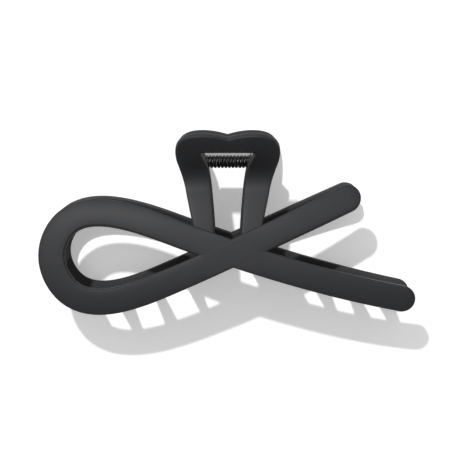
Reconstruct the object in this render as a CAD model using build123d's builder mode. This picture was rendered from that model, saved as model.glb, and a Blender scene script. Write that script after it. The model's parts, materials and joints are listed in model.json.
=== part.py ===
"""Bow-shaped hair claw clip, lying on its back jaw as it does on a table.

Every piece is modelled in the clip's own frame and then laid down on the table:
  X  along the hinge pin, from the loops (-X) to the tails (+X)
  Y  across the clip, from the ribbons (-Y) to the handles (+Y), zero on the hinge axis
  Z  from the back jaw (-Z) to the front jaw (+Z), zero on the middle plane
All sizes are in millimetres and degrees.
"""
import math
import os

from build123d import *

# ---- ribbons of the bow ---------------------------------------------------
RIBBON_WIDTH = 8.4
RIBBON_THICKNESS = 3.2
CROSSING = (1.5, -28.3)
UPPER_TAIL_END = (38.3, -10.9)     # centre of the round end
LOWER_TAIL_END = (55.6, -43.2)
LOWER_TAIL_KNEE = (34.5, -38.3)    # the lower tail flattens past this point
LOOP_FALL = (-17.9, -37.2)         # centre line of the loop, round from the crossing
LOOP_LOW = (-50.4, -41.2)
LOOP_TIP = (-56.1, -29.1)
LOOP_HIGH = (-51.2, -18.5)
LOOP_CREST = (-27.7, -17.9)
LOOP_RETURN = (-12.4, -23.4)       # on the loop's upper run, just before the crossing

# ---- side shape of a jaw --------------------------------------------------
BULGE_HEIGHT = 16.6                # outer face above the middle plane, at its highest
BULGE_Y = -36.0
BULGE_RADIUS = 68.0                # curve of the jaw from the hinge to the teeth
BOW_RADIUS = 440.0                 # gentle curve of the jaw along its length

# ---- handle ---------------------------------------------------------------
HANDLE_RECESS = 0.9                # the legs lie this far under the ribbons' faces
HANDLE_THICKNESS = 2.8
HANDLE_EDGE_ROUND = 0.9
FLARE_START_Y = -9.0
FLARE_RADIUS = 7.0                 # bend from the leg into the outward flare
FLARE_ANGLE = 45.0
HANDLE_LOBE = (8.3, 8.4)           # top of a lobe of the heart, on the outer face
HANDLE_DIP = (0.0, 7.1)            # bottom of the heart's dip
HANDLE_SHOULDER = (16.5, 2.2)      # widest place
HANDLE_WAIST = (13.4, -8.2)
LEG_OUTER_FOOT = (10.6, -21.5)     # inside the ribbon, where the leg grows out of it
LEG_INNER_FOOT = (4.0, -25.0)
LEG_INNER_WAIST = (5.0, -9.0)
OPENING_TOP_CORNER = (9.0, 3.0)

# ---- hinge ----------------------------------------------------------------
PIN_RADIUS = 1.0
PIN_CLEARANCE = 0.06               # running fit in the lugs
PIN_HEAD_RADIUS = 1.6
PIN_HEAD_LENGTH = 0.7
PIN_END_PLAY = 0.15
LUG_RADIUS = 2.3
LUG_WIDTH = 2.3
LUG_GAP = 0.3                      # between lugs that turn past each other
INNER_LUG_X = 9.2                  # inner face of the front jaw's lugs
LUG_ROOT = (-5.2, -0.6)            # stretch of the leg that carries a lug

# ---- spring ---------------------------------------------------------------
SPRING_WIRE = 1.0
SPRING_BORE_CLEARANCE = 0.12       # around the pin
SPRING_TURNS = 13
SPRING_PITCH = 1.13
ARM_ANGLE = 62.0                   # from the middle plane
ARM_CLEARANCE = 0.15               # to the handle that the arm presses on

# ---- teeth ----------------------------------------------------------------
TOOTH_COUNT = 5
TOOTH_PITCH = 21.4                 # along one jaw; the other jaw's teeth stand between
FIRST_TOOTH_X = -46.4
TOOTH_ROOT_LENGTH = 4.8
TOOTH_ROOT_WIDTH = 3.6
TOOTH_TAPER = 2.2
TOOTH_TIP_GAP = 0.8                # from a tip to the other jaw's inner face

# ---- lying pose on the table ----------------------------------------------
REST_TILT = 5.3                    # handle side raised
REST_ROLL = 0.0                    # tail side lowered

BULGE_CENTRE_Z = BULGE_HEIGHT - BULGE_RADIUS
BOW_CENTRE_Z = BULGE_HEIGHT - BOW_RADIUS
OUTLINE_DEPTH = 60.0               # longer than any jaw is deep


def bulge_z(y, depth=0.0):
    """Height of a jaw's outer face over its middle, less a depth into the jaw."""
    return BULGE_CENTRE_Z + math.sqrt((BULGE_RADIUS - depth) ** 2 - (y - BULGE_Y) ** 2)


def face_z(x, y, depth=0.0):
    """The same height anywhere along the jaw."""
    return BOW_CENTRE_Z + math.sqrt((bulge_z(y, depth) - BOW_CENTRE_Z) ** 2 - x**2)


# ---- side profile of the handle: leg, bend and flare ----------------------
LEG_START_ANGLE = math.degrees(math.asin((FLARE_START_Y - BULGE_Y) / (BULGE_RADIUS - HANDLE_RECESS)))
FLARE_START = Vector(FLARE_START_Y, bulge_z(FLARE_START_Y, HANDLE_RECESS))
BEND_CENTRE = FLARE_START + Vector(0, FLARE_RADIUS).rotate(Axis.Z, -LEG_START_ANGLE)
FLARE_ALONG = Vector(1, 0).rotate(Axis.Z, FLARE_ANGLE)
FLARE_OUT = Vector(0, 1).rotate(Axis.Z, FLARE_ANGLE)
BEND_END = BEND_CENTRE - FLARE_OUT * FLARE_RADIUS


def handle_z(y):
    """Height of the handle's outer face."""
    if y < FLARE_START_Y:
        return bulge_z(y, HANDLE_RECESS)
    if y < BEND_END.X:
        return BEND_CENTRE.Y - math.sqrt(FLARE_RADIUS**2 - (y - BEND_CENTRE.X) ** 2)
    return BEND_END.Y + (y - BEND_END.X) * math.tan(math.radians(FLARE_ANGLE))


def square_to_flare(point, side=1):
    """A point of the handle's face, seen square to the flare that its edges are cut to."""
    x, y = point
    return (side * x, Vector(y, handle_z(y)).dot(FLARE_ALONG))


# ---- outlines -------------------------------------------------------------
with BuildLine() as tail_and_loop:
    Line(UPPER_TAIL_END, CROSSING)
    Spline(
        CROSSING, LOOP_FALL, LOOP_LOW, LOOP_TIP, LOOP_HIGH, LOOP_CREST, LOOP_RETURN,
        tangents=[Vector(*CROSSING) - Vector(*UPPER_TAIL_END), Vector(1, -0.37)],
        tangent_scalars=[1, 1],
    )
with BuildLine() as lower_tail:
    Spline(
        LOOP_RETURN, CROSSING, LOWER_TAIL_KNEE, LOWER_TAIL_END,
        tangents=[Vector(1, -0.37), Vector(1, -0.2)],
    )

with BuildSketch() as ribbon_outline:
    trace(tail_and_loop.line, RIBBON_WIDTH)
    trace(lower_tail.line, RIBBON_WIDTH)
    with Locations(UPPER_TAIL_END, LOWER_TAIL_END):
        Circle(RIBBON_WIDTH / 2)

with BuildSketch(Plane((0, 0, 0), x_dir=(1, 0, 0), z_dir=(0, FLARE_OUT.X, FLARE_OUT.Y))) as handle_outline:
    with BuildLine():
        for side in (1, -1):
            outer = Spline(
                [square_to_flare(p, side) for p in (HANDLE_LOBE, HANDLE_SHOULDER, HANDLE_WAIST, LEG_OUTER_FOOT)],
                tangents=[(side, 0), (-side * 0.4, -1)],
            )
            Spline([square_to_flare(p, side) for p in (HANDLE_DIP, HANDLE_LOBE)],
                   tangents=[(side, 0), (side, 0)])
            Line(outer @ 1, square_to_flare((LEG_INNER_FOOT[0], LEG_INNER_FOOT[1]), side))
        Line(square_to_flare(LEG_INNER_FOOT), square_to_flare(LEG_INNER_FOOT, -1))
    make_face()
    with BuildLine():
        for side in (1, -1):
            Spline(
                [square_to_flare(p, side) for p in (LEG_INNER_FOOT, LEG_INNER_WAIST, OPENING_TOP_CORNER)],
                tangents=[(0, 1), (side * 0.45, 1)],
            )
        Line(square_to_flare(OPENING_TOP_CORNER), square_to_flare(OPENING_TOP_CORNER, -1))
        Line(square_to_flare(LEG_INNER_FOOT), square_to_flare(LEG_INNER_FOOT, -1))
    make_face(mode=Mode.SUBTRACT)


# ---- solid layers of a jaw, shaped from the side --------------------------
BOW_MARGIN = 1.5                   # the curved layer reaches this much past the loop's tip
BOW_SWING = math.degrees(math.asin(BOW_MARGIN * abs(LOOP_TIP[0]) / BOW_RADIUS))
SECTION_PLANE = Plane(
    (0, 0, BOW_CENTRE_Z),
    x_dir=(0, 1, 0),
    z_dir=(math.cos(math.radians(BOW_SWING)), 0, math.sin(math.radians(BOW_SWING))),
)
BOW_AXIS = Axis((0, 0, BOW_CENTRE_Z), (0, 1, 0))
RIBBON_LOW_Y = LOWER_TAIL_END[1] - RIBBON_WIDTH - 1
RIBBON_HIGH_Y = UPPER_TAIL_END[1] + RIBBON_WIDTH


def bulge_point(y, depth=0.0):
    return (y, bulge_z(y, depth) - BOW_CENTRE_Z)


def arc_through(function, start, end, depth):
    return ThreePointArc(function(start, depth), function((start + end) / 2, depth), function(end, depth))


with BuildPart() as ribbon:
    with BuildSketch(SECTION_PLANE):
        with BuildLine():
            outer = arc_through(bulge_point, RIBBON_LOW_Y, RIBBON_HIGH_Y, 0.0)
            inner = arc_through(bulge_point, RIBBON_LOW_Y, RIBBON_HIGH_Y, RIBBON_THICKNESS)
            Line(outer @ 0, inner @ 0)
            Line(outer @ 1, inner @ 1)
        make_face()
    revolve(axis=BOW_AXIS, revolution_arc=2 * BOW_SWING)
    extrude(ribbon_outline.sketch, amount=OUTLINE_DEPTH, mode=Mode.INTERSECT)

LEG_END_Y = LEG_INNER_FOOT[1] - 1
FLARE_LENGTH = 20.0


def handle_profile(depth):
    """One face of the handle from the side: leg, bend and flare, at a depth below the outer face."""
    radius = FLARE_RADIUS + depth
    start = BEND_CENTRE + (FLARE_START - BEND_CENTRE) * (radius / FLARE_RADIUS)
    middle = (LEG_END_Y + start.X) / 2
    leg = ThreePointArc(
        (LEG_END_Y, bulge_z(LEG_END_Y, HANDLE_RECESS + depth)),
        (middle, bulge_z(middle, HANDLE_RECESS + depth)),
        start,
    )
    bend = TangentArc(leg @ 1, BEND_CENTRE - FLARE_OUT * radius, tangent=leg % 1)
    flare = Line(bend @ 1, (bend @ 1) + FLARE_ALONG * FLARE_LENGTH)
    return leg @ 0, flare @ 1


with BuildPart() as handle:
    with BuildSketch(Plane.YZ):
        with BuildLine():
            outer_ends = handle_profile(0.0)
            inner_ends = handle_profile(HANDLE_THICKNESS)
            for outer_end, inner_end in zip(outer_ends, inner_ends):
                Line(outer_end, inner_end)
        make_face()
    extrude(amount=HANDLE_SHOULDER[0] + 2, both=True)
    extrude(handle_outline.sketch, amount=OUTLINE_DEPTH, both=True, mode=Mode.INTERSECT)
    rim = handle.edges().filter_by(lambda edge: edge.center().Y > LEG_OUTER_FOOT[1])
    fillet(rim, HANDLE_EDGE_ROUND)


# ---- teeth ----------------------------------------------------------------
LOOP_TIP_SHARE = 0.55              # of the loop's line, from the crossing nearly to its tip
BISECTIONS = 40


def lower_ribbon_at(x):
    """Place and direction of the lower ribbon's centre line at a distance along the clip."""
    loop_bottom, tail = tail_and_loop.line.edges()[1], lower_tail.line.edges()[0]
    run, low, high = (loop_bottom, 0.0, LOOP_TIP_SHARE) if x < CROSSING[0] else (tail, 0.1, 1.0)
    falling = (run @ low).X > (run @ high).X
    for _ in range(BISECTIONS):
        middle = (low + high) / 2
        if ((run @ middle).X > x) == falling:
            low = middle
        else:
            high = middle
    return run @ low, run % low


def teeth(first_x):
    """Straight tapered teeth from inside the ribbon almost to the opposite jaw."""
    with BuildPart() as made:
        for number in range(TOOTH_COUNT):
            place, along = lower_ribbon_at(first_x + number * TOOTH_PITCH)
            root_z = face_z(place.X, place.Y, RIBBON_THICKNESS / 2)
            tip_z = TOOTH_TIP_GAP - face_z(place.X, place.Y, RIBBON_THICKNESS)
            root_plane = Plane((place.X, place.Y, root_z), x_dir=(along.X, along.Y, 0), z_dir=(0, 0, -1))
            with BuildSketch(root_plane):
                Rectangle(TOOTH_ROOT_LENGTH, TOOTH_ROOT_WIDTH)
            extrude(amount=root_z - tip_z, taper=TOOTH_TAPER)
    return made.part


# ---- hinge lugs -----------------------------------------------------------
def inner_handle_z(y):
    """Height of the handle's inner face over the lug's root, kept just inside the leg."""
    return BEND_CENTRE.Y - math.sqrt((FLARE_RADIUS + HANDLE_THICKNESS) ** 2 - (y - BEND_CENTRE.X) ** 2) + 0.5


def lugs(inner_x):
    """Two lugs from the legs to the pin, each with a web that widens into its leg."""
    with BuildPart() as made:
        for x in (inner_x, -inner_x - LUG_WIDTH):
            with BuildSketch(Plane.YZ.offset(x)):
                with BuildLine():
                    CenterArc((0, 0), LUG_RADIUS, 0, 360)
                    Line(*[(y, inner_handle_z(y)) for y in LUG_ROOT])
                make_hull()
            extrude(amount=LUG_WIDTH)
        with BuildSketch(Plane.YZ):
            Circle(PIN_RADIUS + PIN_CLEARANCE)
        extrude(amount=inner_x + 2 * LUG_WIDTH, both=True, mode=Mode.SUBTRACT)
    return made.part


OUTER_LUG_X = INNER_LUG_X + LUG_WIDTH + LUG_GAP

front_shape = (handle.part + lugs(INNER_LUG_X)) + (ribbon.part + teeth(FIRST_TOOTH_X))
back_shape = (handle.part + lugs(OUTER_LUG_X)) + (ribbon.part + teeth(FIRST_TOOTH_X + TOOTH_PITCH / 2))

with BuildPart() as front_jaw:
    add(front_shape)

with BuildPart() as back_jaw:
    add(back_shape)
    mirror(about=Plane.XY, mode=Mode.REPLACE)

# ---- pin and spring -------------------------------------------------------
PIN_HALF_LENGTH = OUTER_LUG_X + LUG_WIDTH + PIN_END_PLAY

with BuildPart() as hinge_pin:
    with BuildSketch(Plane.YZ):
        Circle(PIN_RADIUS)
    extrude(amount=PIN_HALF_LENGTH, both=True)
    for end in (Plane.YZ.offset(PIN_HALF_LENGTH), Plane.YZ.offset(-PIN_HALF_LENGTH - PIN_HEAD_LENGTH)):
        with BuildSketch(end):
            Circle(PIN_HEAD_RADIUS)
        extrude(amount=PIN_HEAD_LENGTH)

COIL_RADIUS = PIN_RADIUS + SPRING_BORE_CLEARANCE + SPRING_WIRE / 2
COIL_START_ANGLE = ARM_ANGLE + 90          # where the front arm leaves the coil
COIL_TURNS = SPRING_TURNS + 2 * (180 - COIL_START_ANGLE) / 360
COIL_LENGTH = COIL_TURNS * SPRING_PITCH
INNER_FLARE_DISTANCE = (BEND_END - FLARE_OUT * HANDLE_THICKNESS).dot(FLARE_OUT)


def arm_length():
    """From the coil to the handle's inner face, along the arm."""
    start = Vector(COIL_RADIUS, 0).rotate(Axis.Z, COIL_START_ANGLE)
    along = Vector(1, 0).rotate(Axis.Z, ARM_ANGLE)
    reach = INNER_FLARE_DISTANCE - SPRING_WIRE / 2 - ARM_CLEARANCE - start.dot(FLARE_OUT)
    return reach / along.dot(FLARE_OUT)


COIL = Helix(SPRING_PITCH, COIL_LENGTH, COIL_RADIUS, center=(-COIL_LENGTH / 2, 0, 0), direction=(1, 0, 0))
COIL = COIL.rotate(Axis.X, ARM_ANGLE)

with BuildPart() as torsion_spring:
    with BuildLine() as wire:
        add(COIL)
        Line(COIL @ 0 - COIL % 0 * arm_length(), COIL @ 0)
        Line(COIL @ 1, COIL @ 1 + COIL % 1 * arm_length())
    with BuildSketch(Plane(COIL @ 0, z_dir=COIL % 0)):
        Circle(SPRING_WIRE / 2)
    sweep(path=COIL, is_frenet=True)
    for end, direction in ((COIL @ 0, COIL % 0 * -1), (COIL @ 1, COIL % 1)):
        with BuildSketch(Plane(end, z_dir=direction)):
            Circle(SPRING_WIRE / 2)
        extrude(amount=arm_length())


# ---- lying on the table ---------------------------------------------------
LAID = Rotation(0, REST_ROLL, 0) * Rotation(REST_TILT, 0, 0)
pieces = (front_jaw, back_jaw, hinge_pin, torsion_spring)
lying_box = Compound([LAID * piece.part for piece in pieces]).bounding_box()
ON_TABLE = Pos(-lying_box.center().X, -lying_box.center().Y, -lying_box.min.Z) * LAID
for piece in pieces:
    piece.part = ON_TABLE * piece.part

front_jaw.part.label = "front_jaw"
back_jaw.part.label = "back_jaw"
hinge_pin.part.label = "hinge_pin"
torsion_spring.part.label = "torsion_spring"

os.makedirs("parts", exist_ok=True)
export_step(front_jaw.part, "parts/front_jaw.step")
export_step(back_jaw.part, "parts/back_jaw.step")
export_step(hinge_pin.part, "parts/hinge_pin.step")
export_step(torsion_spring.part, "parts/torsion_spring.step")
print("lying size", lying_box.size, "hinge axis at", ON_TABLE.position)
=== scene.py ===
"""Bow claw clip: two moulded jaws, a pin and a torsion spring, lying on a pale table.

The jaws are shaped in the clip's own frame, in millimetres, and then laid on the table:
  X along the pin, from the loops to the tails; Y from the ribbons to the handles; Z to the front jaw.
Ribbons and handles are strips swept along their edge lines on a curved face, because the jaw bends
both ways and has to keep to the CAD's faces. A lug is its side outline given a width. Teeth and
pin are shaped from primitives.
"""
import json
import math

import bmesh
import bpy
from mathutils import Matrix, Vector
from mathutils.geometry import interpolate_bezier


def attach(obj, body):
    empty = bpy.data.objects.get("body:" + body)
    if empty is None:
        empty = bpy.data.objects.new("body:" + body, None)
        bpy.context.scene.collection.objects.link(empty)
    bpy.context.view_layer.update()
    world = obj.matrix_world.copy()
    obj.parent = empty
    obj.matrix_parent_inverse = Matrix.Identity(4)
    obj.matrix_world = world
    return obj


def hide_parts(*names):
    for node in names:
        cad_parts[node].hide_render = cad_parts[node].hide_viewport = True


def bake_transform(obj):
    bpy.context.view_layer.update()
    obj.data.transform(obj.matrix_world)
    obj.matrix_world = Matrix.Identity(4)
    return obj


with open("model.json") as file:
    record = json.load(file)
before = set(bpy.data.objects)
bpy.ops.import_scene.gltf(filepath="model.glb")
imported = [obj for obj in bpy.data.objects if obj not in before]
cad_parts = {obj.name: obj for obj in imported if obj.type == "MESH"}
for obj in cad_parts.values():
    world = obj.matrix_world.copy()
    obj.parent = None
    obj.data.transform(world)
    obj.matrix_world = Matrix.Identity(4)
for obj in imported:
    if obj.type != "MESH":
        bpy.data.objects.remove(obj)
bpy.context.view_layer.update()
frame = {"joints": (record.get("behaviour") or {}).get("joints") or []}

# ---- the clip's own frame on the table ------------------------------------
MM = 0.001
REST_TILT = math.radians(5.3)      # handle side raised
HINGE = Vector(frame["joints"][0]["pos_m"])
TO_TABLE = Matrix.Translation(HINGE) @ Matrix.Rotation(REST_TILT, 4, "X") @ Matrix.Scale(MM, 4)
FRONT = Matrix.Identity(4)
BACK = Matrix.Scale(-1, 4, (0, 0, 1))

# ---- ribbons of the bow, in plan ------------------------------------------
RIBBON_WIDTH = 8.4
RIBBON_THICKNESS = 3.2
RIBBON_ROUND = 0.6
RIBBON_CROWN = 0.22                # fall of the face from its middle to its edges
CROWN_FADE_START = 5.0             # no crown nearer to the crossing than this
CROWN_FADE_LENGTH = 9.0
CROSSING = Vector((1.5, -28.3))
UPPER_TAIL_END = Vector((38.3, -10.9))
LOWER_TAIL_KNEE = Vector((34.5, -38.3))
LOWER_TAIL_END = Vector((55.6, -43.2))
LOOP_FALL = Vector((-17.9, -37.2))
LOOP_LOW = Vector((-50.4, -41.2))
LOOP_TIP = Vector((-56.1, -29.1))
LOOP_HIGH = Vector((-51.2, -18.5))
LOOP_CREST = Vector((-27.7, -17.9))
LOOP_RETURN = Vector((-12.4, -23.4))
RETURN_WAY = Vector((1, -0.37))    # direction of the line there
TAIL_END_WAY = Vector((1, -0.2))
RUN_STEP = 0.004                   # keeps the two runs' faces apart where they cross

# ---- side shape of a jaw --------------------------------------------------
BULGE_HEIGHT = 16.6
BULGE_Y = -36.0
BULGE_RADIUS = 68.0                # from the hinge to the teeth
BOW_RADIUS = 440.0                 # along the jaw

# ---- handle ---------------------------------------------------------------
HANDLE_RECESS = 0.9                # the legs lie this far under the ribbons' faces
HANDLE_THICKNESS = 2.8
HANDLE_CROWN = 0.1
RIM_ROUND = (0.6, 1.3)             # the rim, at the face and at the underside
OPENING_ROUND = (0.8, 0.5)         # the opening's edge, likewise
FLARE_START_Y = -9.0
FLARE_RADIUS = 7.0
FLARE_ANGLE = math.radians(45)
HANDLE_LOBE = (8.3, 8.4)           # these seven are places on the outer face, in plan
HANDLE_DIP = (0.0, 7.1)
HANDLE_SHOULDER = (16.5, 2.2)
HANDLE_WAIST = (13.4, -8.2)
LEG_OUTER_FOOT = (10.6, -21.5)
LEG_INNER_FOOT = (4.0, -25.0)
LEG_INNER_WAIST = (5.0, -9.0)
OPENING_TOP = 13.0                 # these three are square to the flare, along it
OPENING_SHOULDER = Vector((8.2, 11.4))
OPENING_CORNER = Vector((7.4, OPENING_TOP))
OUTER_WAY = Vector((0.4, 1))       # how the leg's edges leave their feet and reach the opening
INNER_WAY = Vector((0.42, 1))
DIP_WAY = Vector((-1.7, -0.7))
LEG_PULLS = (1.93, 1.78)           # how strongly a line holds its first and last direction
DIP_PULLS = (1.27, 0.65)
CORNER_PULLS = (2.55, 1.84)

# ---- hinge ----------------------------------------------------------------
PIN_RADIUS = 1.0
PIN_HEAD_RADIUS = 1.6
PIN_HEAD_LENGTH = 0.7
PIN_END_PLAY = 0.15
PIN_SIDES = 36
END_SHARE = 0.99                   # a face whose centre lies past this share of the shank is its end
HEAD_STEPS = (                     # shares of the head's length and radius, outwards
    (0.0, 0.95), (0.114, 1.0), (0.4, 1.0), (0.75, 0.88), (1.0, 0.55),
)
LUG_RADIUS = 2.3
LUG_WIDTH = 2.3
LUG_GAP = 0.3
LUG_ROOT = (-5.2, -0.6)            # stretch of the leg that carries a lug
LUG_OVERLAP = 0.5                  # of its web into the leg
LUG_ROUND = 0.3
LUG_STEPS = 24
INNER_LUG_X = 9.2
OUTER_LUG_X = INNER_LUG_X + LUG_WIDTH + LUG_GAP

# ---- spring ---------------------------------------------------------------
SPRING_WIRE = 1.0
SPRING_BORE_CLEARANCE = 0.12
SPRING_PITCH = 1.13
SPRING_TURNS = 13
ARM_ANGLE = 62.0                   # from the middle plane
ARM_REACH = 13.5
COIL_RADIUS = PIN_RADIUS + SPRING_BORE_CLEARANCE + SPRING_WIRE / 2
COIL_TURNS = SPRING_TURNS + 2 * (90 - ARM_ANGLE) / 360
COIL_LENGTH = COIL_TURNS * SPRING_PITCH
COIL_STEPS = 26 * SPRING_TURNS
ARM_STEPS = 6
ARM_LIGHT_START = 2.2                   # from the axis; painted light: beyond it the wire is painted light steel, for the lit arms
ARM_LIGHT_LENGTH = 1.2

# ---- teeth ----------------------------------------------------------------
TOOTH_COUNT = 5
TOOTH_PITCH = 21.4
FIRST_TOOTH_X = -46.4
TOOTH_LENGTH = 4.8
TOOTH_WIDTH = 3.6
TOOTH_TAPER = math.radians(2.2)
TOOTH_TIP_GAP = 0.8                # from a tip to the other jaw's inner face
TOOTH_ROUND = 0.55

# ---- fineness of the meshes -----------------------------------------------
FACE_POINTS = 7                    # across a strip's face
FACE_SPREAD = 0.86                 # share of its width that they cover
EDGE_STEPS = 5                     # per quarter round
TAIL_STEPS = 14
LOOP_STEPS = 18                    # per stretch
RISING_STEPS = 22
HANDLE_STEPS = 60                  # up one leg
END_TURNS = 24                     # round a ribbon's end

# ---- finishes, in millimetres ---------------------------------------------
CLOUD_SIZE = 11.1                  # faint unevenness of the soft-touch coat
GRAIN_SIZE = 0.192                 # its tooth, which from the camera's distance only softens the light
OXIDE_SIZE = 0.71                  # mottling of the blackened wire
DRAWN_SIZE = 1.1                   # unevenness of the drawn pin

# ---- light and view -------------------------------------------------------
PANEL_POWER = 17.0
PANEL_SIZE = 3.0
PANEL_PLACE = (-0.3, 0.5, 1.8)
PANEL_TURN = (math.radians(-12), math.radians(-8), 0)
SUN_POWER = 2.2
SUN_TOWARDS = Vector((0.27, -0.50, -1.0))
SUN_SPREAD = math.radians(2.0)
WORLD_STRENGTH = 0.2
TABLE_GLOW = 0.28                  # painted light: the table glows a little, which lightens the shadows on it
TABLE_SIZE = 6
VIEW_LEAN = math.radians(4.2)      # from the clip's own normal, towards the handles
VIEW_DISTANCE = 0.600
VIEW_WIDTH = 0.14135               # at that distance
VIEW_TARGET = Vector((-0.86, -19.23, 17.11))
SENSOR_WIDTH = 36


# ---- small helpers --------------------------------------------------------
def clear_selection():
    bpy.ops.object.select_all(action="DESELECT")


def only(*objects):
    """Select these objects alone, the first one active."""
    clear_selection()
    for obj in objects:
        obj.select_set(True)
    bpy.context.view_layer.objects.active = objects[0]


def share_between(value, start, length):
    """How far a value is along a stretch, from 0 to 1."""
    return min(max((value - start) / length, 0.0), 1.0)


def close_mesh(obj):
    """Merge doubles and turn the faces outwards."""
    work = bmesh.new()
    work.from_mesh(obj.data)
    bmesh.ops.remove_doubles(work, verts=work.verts, dist=0.002)
    bmesh.ops.recalc_face_normals(work, faces=work.faces)
    work.to_mesh(obj.data)
    work.free()


def put_in_place(obj, place):
    """Move the mesh, not the object; a mirrored mesh is turned outwards again."""
    obj.data.transform(place)
    if place.determinant() < 0:
        obj.data.flip_normals()


def mesh_object(name, points, faces, place):
    mesh = bpy.data.meshes.new(name)
    mesh.from_pydata([tuple(p) for p in points], [], faces)
    obj = bpy.data.objects.new(name, mesh)
    bpy.context.scene.collection.objects.link(obj)
    close_mesh(obj)
    put_in_place(obj, place)
    return obj


def round_edges(obj, width, segments, **limits):
    only(obj)
    bevel = obj.modifiers.new("edges", "BEVEL")
    bevel.width = width
    bevel.segments = segments
    for name, value in limits.items():
        setattr(bevel, name, value)
    bpy.ops.object.modifier_apply(modifier=bevel.name)


# ---- lines in plan --------------------------------------------------------
SETTLING_ROUNDS = 40


def smooth_spans(points, start_way, end_way, pulls=(1.0, 1.0)):
    """Cubic spans of the smoothest line through some points, with its first and last directions.

    A span is its four control points. The directions between are settled round by round, until the
    curvature runs on through every point.
    """
    chords = [(q - p).length for p, q in zip(points, points[1:])]
    slopes = [(q - p) / chord for p, q, chord in zip(points, points[1:], chords)]
    ways = [start_way.normalized() * pulls[0]] + slopes[1:] + [end_way.normalized() * pulls[1]]
    for _ in range(SETTLING_ROUNDS):
        for i in range(1, len(points) - 1):
            before, after = chords[i - 1], chords[i]
            bent = 3 * (after * slopes[i - 1] + before * slopes[i])
            ways[i] = (bent - after * ways[i - 1] - before * ways[i + 1]) / (2 * (before + after))
    return [
        (p, p + way * chord / 3, q - next_way * chord / 3, q)
        for p, q, way, next_way, chord in zip(points, points[1:], ways, ways[1:], chords)
    ]


def trace_spans(spans, steps):
    """Points along cubic spans, the last one's end with them."""
    line = []
    for span in spans:
        controls = [p.to_3d() for p in span]
        line += [p.to_2d() for p in interpolate_bezier(*controls, steps + 1)[:-1]]
    line.append(spans[-1][3])
    return line


def offset_line(line, distance):
    """The line moved sideways, to its right for a positive distance."""
    moved = []
    for i, point in enumerate(line):
        ahead = line[min(i + 1, len(line) - 1)] - line[max(i - 1, 0)]
        moved.append(point + Vector((ahead.y, -ahead.x)).normalized() * distance)
    return moved


TAIL_RISE = (UPPER_TAIL_END - CROSSING).normalized()
LOOP_LINE = trace_spans(
    smooth_spans(
        [CROSSING, LOOP_FALL, LOOP_LOW, LOOP_TIP, LOOP_HIGH, LOOP_CREST, LOOP_RETURN],
        -TAIL_RISE, RETURN_WAY,
    ),
    LOOP_STEPS,
)
LOOP_RUN = [UPPER_TAIL_END.lerp(CROSSING, i / TAIL_STEPS) for i in range(TAIL_STEPS)] + LOOP_LINE
RISING_RUN = trace_spans(
    smooth_spans([LOOP_RETURN, CROSSING, LOWER_TAIL_KNEE, LOWER_TAIL_END], RETURN_WAY, TAIL_END_WAY),
    RISING_STEPS,
)


# ---- curved faces of a jaw ------------------------------------------------
def on_bulge(x, y, depth):
    """A point of the ribbon, a depth below its outer face, with the face's own curve."""
    bulge_centre = BULGE_HEIGHT - BULGE_RADIUS
    bow_centre = BULGE_HEIGHT - BOW_RADIUS
    height = bulge_centre + math.sqrt(BULGE_RADIUS**2 - (y - BULGE_Y) ** 2)
    z = bow_centre + math.sqrt((height - bow_centre) ** 2 - x**2)
    normal = Vector((x / BOW_RADIUS, (y - BULGE_Y) / BULGE_RADIUS, 0))
    normal.z = math.sqrt(1 - normal.length_squared)
    return Vector((x, y, z)) - normal * depth


def under_loop(x, y, depth):
    return on_bulge(x, y, depth + RUN_STEP)


# the leg follows the bulge under the ribbon, bends, and flares out straight
LEG_RADIUS = BULGE_RADIUS - HANDLE_RECESS
LEG_ANGLE = math.asin((FLARE_START_Y - BULGE_Y) / LEG_RADIUS)
BEND_CENTRE = Vector((
    FLARE_START_Y + FLARE_RADIUS * math.sin(LEG_ANGLE),
    BULGE_HEIGHT - BULGE_RADIUS + (LEG_RADIUS + FLARE_RADIUS) * math.cos(LEG_ANGLE),
))
BEND_END_Y = BEND_CENTRE.x + FLARE_RADIUS * math.sin(FLARE_ANGLE)


def on_handle(x, y, depth):
    """A point of the handle at a depth below its outer face, given by the face's own y."""
    if y < FLARE_START_Y:
        angle = math.asin((y - BULGE_Y) / LEG_RADIUS)
        face = Vector((y, BULGE_HEIGHT - BULGE_RADIUS + LEG_RADIUS * math.cos(angle)))
        normal = Vector((math.sin(angle), math.cos(angle)))
    elif y < BEND_END_Y:
        angle = math.asin((y - BEND_CENTRE.x) / FLARE_RADIUS)
        face = BEND_CENTRE + FLARE_RADIUS * Vector((math.sin(angle), -math.cos(angle)))
        normal = Vector((-math.sin(angle), math.cos(angle)))
    else:
        normal = Vector((-math.sin(FLARE_ANGLE), math.cos(FLARE_ANGLE)))
        face = BEND_CENTRE - FLARE_RADIUS * normal
        face += Vector((y - BEND_END_Y, (y - BEND_END_Y) * math.tan(FLARE_ANGLE)))
    place = face - normal * depth
    return Vector((x, place.x, place.y))


# ---- moulded strips -------------------------------------------------------
def section(thickness, left, right, crown):
    """A strip's cross-section as (side, inset, depth, sink): a crowned face and round edges.

    left and right give each edge's two radii, at the face and at the underside; sink is how far
    the crown has fallen there.
    """
    ring = []
    for i in range(FACE_POINTS):
        across = (-1 + 2 * (i + 0.5) / FACE_POINTS) * FACE_SPREAD
        ring.append((across, 0.0, 0.0, crown * across**2))
    quarter = [math.pi / 2 * i / EDGE_STEPS for i in range(EDGE_STEPS + 1)]
    for side, (high, low) in ((1, right), (-1, left)):
        edge = [(side, high * (1 - math.sin(a)), high * (1 - math.cos(a)), crown) for a in quarter]
        for a in quarter:
            edge.append((side, low * (1 - math.cos(a)), thickness - low * (1 - math.sin(a)), 0.0))
        ring += edge if side > 0 else reversed(edge)
    return ring


def crown_share(plan):
    """The crown fades out where the two ribbons merge, so that one face runs through the crossing."""
    away = share_between((plan - CROSSING).length, CROWN_FADE_START, CROWN_FADE_LENGTH)
    return away * away * (3 - 2 * away)


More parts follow.
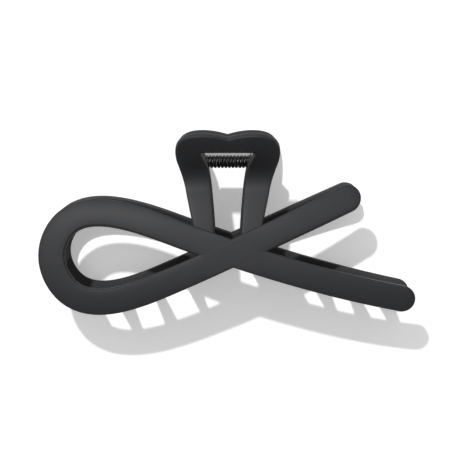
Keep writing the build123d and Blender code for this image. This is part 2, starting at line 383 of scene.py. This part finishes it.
def bridge_rings(rings, count, closed):
    """Faces between neighbouring rings of points, with a face at each end."""
    faces = []
    for i in range(rings - 1):
        for k in range(count if closed else count - 1):
            n = (k + 1) % count
            faces.append((i * count + k, i * count + n, (i + 1) * count + n, (i + 1) * count + k))
    faces.append(tuple(range(count)))
    faces.append(tuple((rings - 1) * count + k for k in range(count)))
    return faces


def strip(name, left_edge, right_edge, ring, lay, place):
    """A moulded strip between two edge lines, laid on a curved face."""
    points = []
    for left, right in zip(left_edge, right_edge):
        middle, half = (left + right) / 2, (right - left) / 2
        inward = half.normalized()
        share = crown_share(middle)
        for side, inset, depth, sink in ring:
            plan = middle + half * side - inward * (inset if side > 0 else -inset)
            points.append(lay(plan.x, plan.y, depth + sink * share))
    return mesh_object(name, points, bridge_rings(len(left_edge), len(ring), True), place)


def round_end(name, centre, away, ring, lay, place):
    """A ribbon's round end: half of its section turned half a circle about the end's centre."""
    half = [entry for entry in ring if entry[0] > 0]
    half = [(0.0, 0.0, 0.0, 0.0)] + half + [(0.0, 0.0, RIBBON_THICKNESS, 0.0)]
    start = Vector((away.y, -away.x)).normalized()
    points = []
    for turn in range(END_TURNS + 1):
        out = Matrix.Rotation(math.pi * turn / END_TURNS, 2) @ start
        for side, inset, depth, sink in half:
            plan = centre + out * (RIBBON_WIDTH / 2 * side - inset)
            points.append(lay(plan.x, plan.y, depth + sink))
    return mesh_object(name, points, bridge_rings(END_TURNS + 1, len(half), False), place)


def make_ribbon(name, place):
    """The bow: the tail that runs into the loop, the run that rises from it, and two round ends."""
    edges = (RIBBON_ROUND, RIBBON_ROUND)
    ring = section(RIBBON_THICKNESS, edges, edges, RIBBON_CROWN)
    half = RIBBON_WIDTH / 2
    pieces = []
    for run, lay in ((LOOP_RUN, on_bulge), (RISING_RUN, under_loop)):
        pieces.append(strip(name, offset_line(run, -half), offset_line(run, half), ring, lay, place))
    pieces.append(round_end(name, UPPER_TAIL_END, TAIL_RISE, ring, on_bulge, place))
    tail_way = RISING_RUN[-1] - RISING_RUN[-2]
    pieces.append(round_end(name, LOWER_TAIL_END, tail_way, ring, under_loop, place))
    return pieces


# ---- handle ---------------------------------------------------------------
HANDLE_LOW_Y = -30.0               # below and above any point of the handle
HANDLE_HIGH_Y = 15.0
BISECTIONS = 30
SPAN_STEPS = 30


def along_flare(y):
    """How far along the flare a point of the handle's face lies."""
    face = on_handle(0, y, 0)
    return face.y * math.cos(FLARE_ANGLE) + face.z * math.sin(FLARE_ANGLE)


def square_to_flare(point):
    """A place on the handle's face, seen square to the flare that its edges are cut to."""
    return Vector((point[0], along_flare(point[1])))


def face_y(distance):
    """The face's own y at a distance along the flare."""
    low, high = HANDLE_LOW_Y, HANDLE_HIGH_Y
    for _ in range(BISECTIONS):
        middle = (low + high) / 2
        if along_flare(middle) < distance:
            low = middle
        else:
            high = middle
    return low


def outer_spans():
    """The rim from a leg's foot up to its lobe and down into the dip."""
    places = (LEG_OUTER_FOOT, HANDLE_WAIST, HANDLE_SHOULDER, HANDLE_LOBE, HANDLE_DIP)
    *leg, dip = [square_to_flare(place) for place in places]
    across = Vector((-1, 0))
    return smooth_spans(leg, OUTER_WAY, across, LEG_PULLS) + smooth_spans(
        [leg[-1], dip], across, DIP_WAY, DIP_PULLS)


def inner_spans():
    """The opening's edge from a leg's foot up to the corner and along the bar."""
    leg = [square_to_flare(place) for place in (LEG_INNER_FOOT, LEG_INNER_WAIST)] + [OPENING_SHOULDER]
    across = Vector((-1, 0))
    return (
        smooth_spans(leg, Vector((0, 1)), INNER_WAY)
        + smooth_spans([OPENING_SHOULDER, OPENING_CORNER], INNER_WAY, across, CORNER_PULLS)
        + smooth_spans([OPENING_CORNER, Vector((0, OPENING_TOP))], across, across)
    )


def handle_edge(spans):
    """One edge line of the handle, evenly divided, up one leg and down the other."""
    line = [Vector((-p.x, face_y(p.y))) for p in trace_spans(spans, SPAN_STEPS)]
    reach = [0.0]
    for p, q in zip(line, line[1:]):
        reach.append(reach[-1] + (q - p).length)
    even, k = [], 0
    for i in range(HANDLE_STEPS + 1):
        goal = reach[-1] * i / HANDLE_STEPS
        while k < len(line) - 2 and reach[k + 1] < goal:
            k += 1
        even.append(line[k].lerp(line[k + 1], (goal - reach[k]) / (reach[k + 1] - reach[k])))
    return even + [Vector((-p.x, p.y)) for p in reversed(even[:-1])]


def make_handle(name, place):
    ring = section(HANDLE_THICKNESS, RIM_ROUND, OPENING_ROUND, HANDLE_CROWN)
    return strip(name, handle_edge(outer_spans()), handle_edge(inner_spans()), ring, on_handle, place)


# ---- teeth and lugs -------------------------------------------------------
def lower_ribbon_at(x):
    """Place and direction of the lower ribbon's centre line at a distance along the clip."""
    run = LOOP_LINE if x < CROSSING.x else RISING_RUN
    for p, q in zip(run, run[1:]):
        if min(p.x, q.x) <= x <= max(p.x, q.x):
            return p.lerp(q, (x - p.x) / (q.x - p.x)), q - p


def make_tooth(name, x, place):
    """A straight tapered tooth with rounded edges and tip, from a cube."""
    centre, along = lower_ribbon_at(x)
    top = on_bulge(centre.x, centre.y, RIBBON_THICKNESS / 2).z
    tip = TOOTH_TIP_GAP - on_bulge(centre.x, centre.y, RIBBON_THICKNESS).z
    shrink = 2 * (top - tip) * math.tan(TOOTH_TAPER)
    clear_selection()
    bpy.ops.mesh.primitive_cube_add(size=1, location=(0, 0, 0))
    tooth = bpy.context.object
    tooth.name = name
    for v in tooth.data.vertices:
        low = v.co.z < 0
        v.co.x *= TOOTH_LENGTH - (shrink if low else 0)
        v.co.y *= TOOTH_WIDTH - (shrink if low else 0)
        v.co.z = tip if low else top
    round_edges(tooth, TOOTH_ROUND, 4)
    turn = Matrix.Rotation(math.atan2(along.y, along.x), 4, "Z")
    put_in_place(tooth, place @ Matrix.Translation((centre.x, centre.y, 0)) @ turn)
    return tooth


def lug_outline():
    """A lug from the side: the web's two corners on the leg, and the arc round the pin."""
    web = []
    for y in LUG_ROOT:
        z = BEND_CENTRE.y - math.sqrt((FLARE_RADIUS + HANDLE_THICKNESS) ** 2 - (y - BEND_CENTRE.x) ** 2)
        web.append(Vector((y, z + LUG_OVERLAP)))
    ends = []
    for corner, turn in ((web[1], -1), (web[0], 1)):
        lean = math.atan2(corner.y, corner.x)
        ends.append(lean + turn * math.acos(LUG_RADIUS / corner.length))
    start, end = ends[0], ends[1] - 2 * math.pi
    outline = list(web)
    for i in range(LUG_STEPS + 1):
        angle = start + (end - start) * i / LUG_STEPS
        outline.append(Vector((math.cos(angle), math.sin(angle))) * LUG_RADIUS)
    return outline


def make_lug(name, x, place):
    outline = lug_outline()
    points = [(side, p.x, p.y) for side in (x, x + LUG_WIDTH) for p in outline]
    lug = mesh_object(name, points, bridge_rings(2, len(outline), True), FRONT)
    round_edges(lug, LUG_ROUND, 3, limit_method="ANGLE")
    put_in_place(lug, place)
    return lug


def make_jaw(name, node, body, place, first_tooth_x, lug_x, material):
    pieces = make_ribbon(name, place) + [make_handle(name, place)]
    pieces += [make_tooth(name, first_tooth_x + i * TOOTH_PITCH, place) for i in range(TOOTH_COUNT)]
    pieces += [make_lug(name, x, place) for x in (lug_x, -lug_x - LUG_WIDTH)]
    only(*pieces)
    bpy.ops.object.join()
    jaw = bpy.context.object
    jaw.name = name
    jaw.data.materials.clear()
    jaw.data.materials.append(material)
    jaw.data.transform(TO_TABLE)
    only(jaw)
    bpy.ops.object.shade_smooth_by_angle(angle=math.radians(32))
    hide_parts(node)
    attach(jaw, body)


# ---- spring and pin -------------------------------------------------------
def spring_line():
    """Centre line of the wire: front arm, coil, back arm."""
    start = math.radians(ARM_ANGLE + 90)
    coil = []
    for i in range(COIL_STEPS + 1):
        share = i / COIL_STEPS
        angle = start + 2 * math.pi * COIL_TURNS * share
        ring = COIL_RADIUS * Vector((math.cos(angle), math.sin(angle)))
        coil.append(Vector((COIL_LENGTH * (share - 0.5), ring.x, ring.y)))
    lead = SPRING_PITCH / (2 * math.pi * COIL_RADIUS)
    arm = math.radians(ARM_ANGLE)
    front = Vector((-lead, math.cos(arm), math.sin(arm))).normalized() * ARM_REACH
    back = Vector((lead, math.cos(arm), -math.sin(arm))).normalized() * ARM_REACH
    front_arm = [coil[0] + front * (1 - i / ARM_STEPS) for i in range(ARM_STEPS)]
    back_arm = [coil[-1] + back * (i + 1) / ARM_STEPS for i in range(ARM_STEPS)]
    return front_arm + coil + back_arm


def make_spring(material):
    curve = bpy.data.curves.new("spring_wire", "CURVE")
    curve.dimensions = "3D"
    line = spring_line()
    spline = curve.splines.new("POLY")
    spline.points.add(len(line) - 1)
    for point, place in zip(spline.points, line):
        point.co = (*place, 1)
    curve.bevel_depth = SPRING_WIRE / 2
    curve.bevel_resolution = 3
    curve.use_fill_caps = True
    wire = bpy.data.objects.new("spring_wire", curve)
    bpy.context.scene.collection.objects.link(wire)
    only(wire)
    bpy.ops.object.convert(target="MESH")
    wire = bpy.context.object
    # painted light: a share per point, rising from the coil out along the arms, that paints the arms light
    # steel for the light falling on them
    painted_arm_light = wire.data.attributes.new("painted_arm_light", "FLOAT", "POINT")
    for v in wire.data.vertices:
        painted_arm_light.data[v.index].value = share_between(v.co.yz.length, ARM_LIGHT_START, ARM_LIGHT_LENGTH)
    wire.data.transform(TO_TABLE)
    wire.data.materials.clear()
    wire.data.materials.append(material)
    only(wire)
    bpy.ops.object.shade_smooth_by_angle(angle=math.radians(50))
    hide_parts("torsion_spring")
    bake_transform(wire)


def form_head(pin, side, shank_end):
    """Draw one end face of the pin out into its head, step by step."""
    work = bmesh.from_edit_mesh(pin.data)
    for face in work.faces:
        face.select_set(face.calc_center_median().x * side > END_SHARE * shank_end)
    bmesh.update_edit_mesh(pin.data)
    x, radius = shank_end, PIN_RADIUS
    for length_share, radius_share in HEAD_STEPS:
        next_x = shank_end + length_share * PIN_HEAD_LENGTH
        next_radius = radius_share * PIN_HEAD_RADIUS
        bpy.ops.mesh.extrude_region()
        bpy.ops.transform.translate(value=(side * (next_x - x), 0, 0))
        spread = next_radius / radius
        bpy.ops.transform.resize(value=(1, spread, spread), center_override=(side * next_x, 0, 0))
        x, radius = next_x, next_radius


def make_pin(material):
    """A wire pin with a formed head at each end, from a cylinder."""
    shank_end = OUTER_LUG_X + LUG_WIDTH + PIN_END_PLAY
    clear_selection()
    bpy.ops.mesh.primitive_cylinder_add(
        vertices=PIN_SIDES, radius=PIN_RADIUS, depth=2 * shank_end, location=(0, 0, 0))
    pin = bpy.context.object
    pin.name = "pin"
    pin.data.transform(Matrix.Rotation(math.radians(90), 4, "Y"))
    bpy.ops.object.mode_set(mode="EDIT")
    for side in (-1, 1):
        bpy.ops.mesh.select_all(action="DESELECT")
        form_head(pin, side, shank_end)
    bpy.ops.object.mode_set(mode="OBJECT")
    close_mesh(pin)
    pin.data.transform(TO_TABLE)
    pin.data.materials.append(material)
    only(pin)
    bpy.ops.object.shade_smooth_by_angle(angle=math.radians(40))
    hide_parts("hinge_pin")
    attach(pin, "back")


# ---- materials ------------------------------------------------------------
MIX_A, MIX_B, MIX_RESULT = 6, 7, 2     # a Mix node's colour sockets
WHITE = (1, 1, 1, 1)


def linear(hex_colour):
    """sRGB hex to the linear colour that shaders use."""
    values = [int(hex_colour[i:i + 2], 16) / 255 for i in (1, 3, 5)]
    return tuple(v / 12.92 if v <= 0.04045 else ((v + 0.055) / 1.055) ** 2.4 for v in values) + (1.0,)


def pattern_scale(size):
    """A noise's scale for features of a size in millimetres, on coordinates in metres."""
    return 1 / (size * MM)


def new_material(name):
    material = bpy.data.materials.new(name)
    material.use_nodes = True
    return material, material.node_tree.nodes["Principled BSDF"]


def set_node(material, node, settings, links):
    """Set a node's inputs and options, and link its inputs to other nodes' outputs."""
    for key, value in settings.items():
        if key in node.inputs:
            node.inputs[key].default_value = value
        else:
            setattr(node, key, value)
    for key, output in links.items():
        material.node_tree.links.new(output, node.inputs[key])


def add_node(material, kind, settings, links):
    node = material.node_tree.nodes.new(kind)
    set_node(material, node, settings, links)
    return node


def two_tone(ramp, dark, light):
    ramp.color_ramp.elements[0].color = linear(dark)
    ramp.color_ramp.elements[1].color = linear(light)


def soft_touch_plastic():
    """Injection-moulded plastic with a matte soft-touch coat.

    The eye sees a near-black piece whose tone and gloss drift a little over a centimetre or so, a
    fine tooth that softens the light, and a faint sheen on the edges that face the light.
    """
    material, shader = new_material("soft_touch_black")
    coords = add_node(material, "ShaderNodeTexCoord", {}, {})
    place = {"Vector": coords.outputs["Object"]}
    cloud_settings = {"Scale": pattern_scale(CLOUD_SIZE), "Detail": 3.0}
    grain_settings = {"Scale": pattern_scale(GRAIN_SIZE), "Detail": 2.0}
    cloud = add_node(material, "ShaderNodeTexNoise", cloud_settings, place)
    grain = add_node(material, "ShaderNodeTexNoise", grain_settings, place)
    ramp = add_node(material, "ShaderNodeValToRGB", {}, {"Fac": cloud.outputs["Fac"]})
    two_tone(ramp, "#16171a", "#1a1b1e")
    rough_settings = {"To Min": 0.64, "To Max": 0.70}
    rough = add_node(material, "ShaderNodeMapRange", rough_settings, {"Value": cloud.outputs["Fac"]})
    tooth_settings = {"Strength": 0.10, "Distance": 0.06 * MM}
    tooth = add_node(material, "ShaderNodeBump", tooth_settings, {"Height": grain.outputs["Fac"]})
    set_node(material, shader, {"Coat Weight": 0.04, "Coat Roughness": 0.36}, {
        "Base Color": ramp.outputs["Color"],
        "Roughness": rough.outputs["Result"],
        "Normal": tooth.outputs["Normal"],
    })
    return material


def oxide_wire():
    """Music wire with a black oxide finish.

    The coil looks charcoal and slightly mottled. The arms that press on the handles carry painted
    light: they are painted light steel, for the light that falls on them from above.
    """
    material, shader = new_material("black_oxide_wire")
    coords = add_node(material, "ShaderNodeTexCoord", {}, {})
    mottle_settings = {"Scale": pattern_scale(OXIDE_SIZE), "Detail": 2.0}
    mottle = add_node(material, "ShaderNodeTexNoise", mottle_settings, {"Vector": coords.outputs["Object"]})
    ramp = add_node(material, "ShaderNodeValToRGB", {}, {"Fac": mottle.outputs["Fac"]})
    two_tone(ramp, "#222224", "#3c3c3e")
    # painted light: the arms are mixed to light steel, standing in for the light on them against the dark
    # coil
    painted_light_on_arms = add_node(material, "ShaderNodeAttribute", {"attribute_name": "painted_arm_light"}, {})
    mix = add_node(material, "ShaderNodeMix", {"data_type": "RGBA"}, {
        "Factor": painted_light_on_arms.outputs["Fac"],
        MIX_A: ramp.outputs["Color"],
    })
    mix.inputs[MIX_B].default_value = linear("#d8d8d6")
    set_node(material, shader, {"Metallic": 1.0, "Roughness": 0.42}, {"Base Color": mix.outputs[MIX_RESULT]})
    return material


def bright_steel():
    """Bare drawn steel: the pin's heads look light, with a gloss that is a little uneven."""
    material, shader = new_material("bright_drawn_steel")
    coords = add_node(material, "ShaderNodeTexCoord", {}, {})
    drawn_settings = {"Scale": pattern_scale(DRAWN_SIZE), "Detail": 2.0}
    drawn = add_node(material, "ShaderNodeTexNoise", drawn_settings, {"Vector": coords.outputs["Object"]})
    rough_settings = {"To Min": 0.22, "To Max": 0.38}
    rough = add_node(material, "ShaderNodeMapRange", rough_settings, {"Value": drawn.outputs["Fac"]})
    set_node(material, shader, {"Base Color": linear("#c4c4c2"), "Metallic": 1.0}, {
        "Roughness": rough.outputs["Result"],
    })
    return material


def table_white():
    """A matte white studio sweep that glows a little: painted light that lightens its shadows."""
    material, shader = new_material("white_table")
    set_node(material, shader, {
        "Base Color": linear("#f7f7f7"),
        "Roughness": 0.9,
        "Specular IOR Level": 0.1,
        # painted light: the glow lifts the table's shadows and also lights the clip from below
        "Emission Color": WHITE,
        "Emission Strength": TABLE_GLOW,
    }, {})
    return material


# ---- stage ----------------------------------------------------------------
def make_table():
    clear_selection()
    bpy.ops.mesh.primitive_plane_add(size=TABLE_SIZE, location=(0, 0, 0))
    table = bpy.context.object
    table.name = "table_top"
    table.data.materials.append(table_white())


def make_light():
    """A soft overhead panel, a sun for the clear shadows, and a little light from all round."""
    world = bpy.data.worlds.new("studio")
    bpy.context.scene.world = world
    world.use_nodes = True
    world.node_tree.nodes["Background"].inputs["Color"].default_value = WHITE
    world.node_tree.nodes["Background"].inputs["Strength"].default_value = WORLD_STRENGTH
    panel = bpy.data.lights.new("overhead_panel", "AREA")
    panel.shape = "RECTANGLE"
    panel.size = PANEL_SIZE
    panel.size_y = PANEL_SIZE
    panel.energy = PANEL_POWER
    over = bpy.data.objects.new("overhead_panel", panel)
    over.location = PANEL_PLACE
    over.rotation_euler = PANEL_TURN
    bpy.context.scene.collection.objects.link(over)
    sun = bpy.data.lights.new("key", "SUN")
    sun.energy = SUN_POWER
    sun.angle = SUN_SPREAD
    key = bpy.data.objects.new("key", sun)
    key.rotation_euler = SUN_TOWARDS.to_track_quat("-Z", "Y").to_euler()
    bpy.context.scene.collection.objects.link(key)
    bpy.context.scene.view_settings.view_transform = "Standard"


def make_camera():
    """Looks almost straight down, a little to the handles' side of the clip's own normal."""
    from_vertical = REST_TILT - VIEW_LEAN
    back_off = Vector((0, -math.sin(from_vertical), math.cos(from_vertical)))
    lens = bpy.data.cameras.new("camera")
    lens.sensor_width = SENSOR_WIDTH
    lens.lens = SENSOR_WIDTH * VIEW_DISTANCE / VIEW_WIDTH
    lens.clip_end = 20
    eye = bpy.data.objects.new("camera", lens)
    eye.location = TO_TABLE @ VIEW_TARGET + VIEW_DISTANCE * back_off
    eye.rotation_euler = (from_vertical, 0, 0)
    bpy.context.scene.collection.objects.link(eye)
    bpy.context.scene.camera = eye


plastic = soft_touch_plastic()
back_tooth_x = FIRST_TOOTH_X + TOOTH_PITCH / 2
make_jaw("front_jaw_moulding", "front_jaw", "front", FRONT, FIRST_TOOTH_X, INNER_LUG_X, plastic)
make_jaw("back_jaw_moulding", "back_jaw", "back", BACK, back_tooth_x, OUTER_LUG_X, plastic)
make_spring(oxide_wire())
make_pin(bright_steel())
make_table()
make_light()
make_camera()
